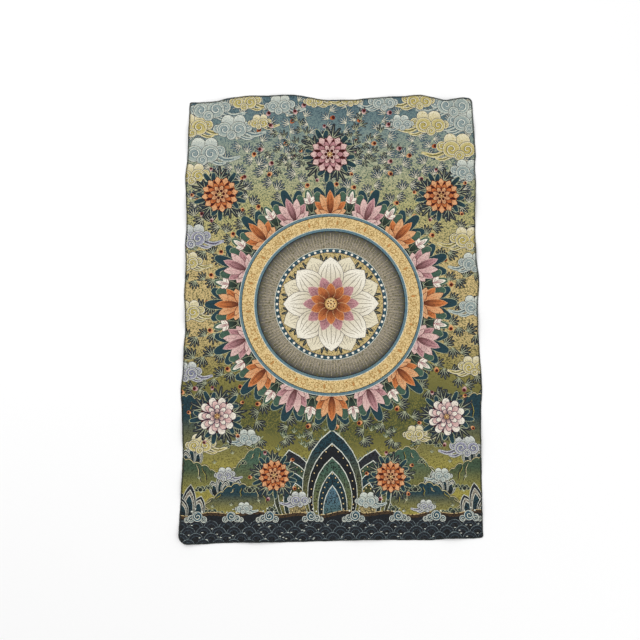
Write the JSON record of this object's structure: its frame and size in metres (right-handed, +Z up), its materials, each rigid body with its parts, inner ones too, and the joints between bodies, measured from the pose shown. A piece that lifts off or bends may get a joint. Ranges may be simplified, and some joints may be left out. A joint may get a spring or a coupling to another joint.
{
  "type": "unmounted woven thangka panel",
  "caption": "Rectangular woven brocade panel for a scroll painting, without its mounting, lying flat and face up, with a dark overlocked edge.",
  "frame": {"origin": "under the middle of the cloth, on the surface that it lies on", "axes": "+Z up out of the face of the cloth, +Y towards the top edge of the design, +X towards its right edge"},
  "size_m": [0.6078, 0.9214, 0.0077],
  "materials": {
    "brocade": "multicoloured jacquard brocade of polyester thread, soft sheen, fine thread speckle",
    "overlock thread": "matt black-green overlock thread"
  },
  "bodies": {
    "root": {"woven_panel": "brocade", "overlock_top": "overlock thread", "overlock_right": "overlock thread", "overlock_bottom": "overlock thread", "overlock_left": "overlock thread"}
  },
  "joints": []
}
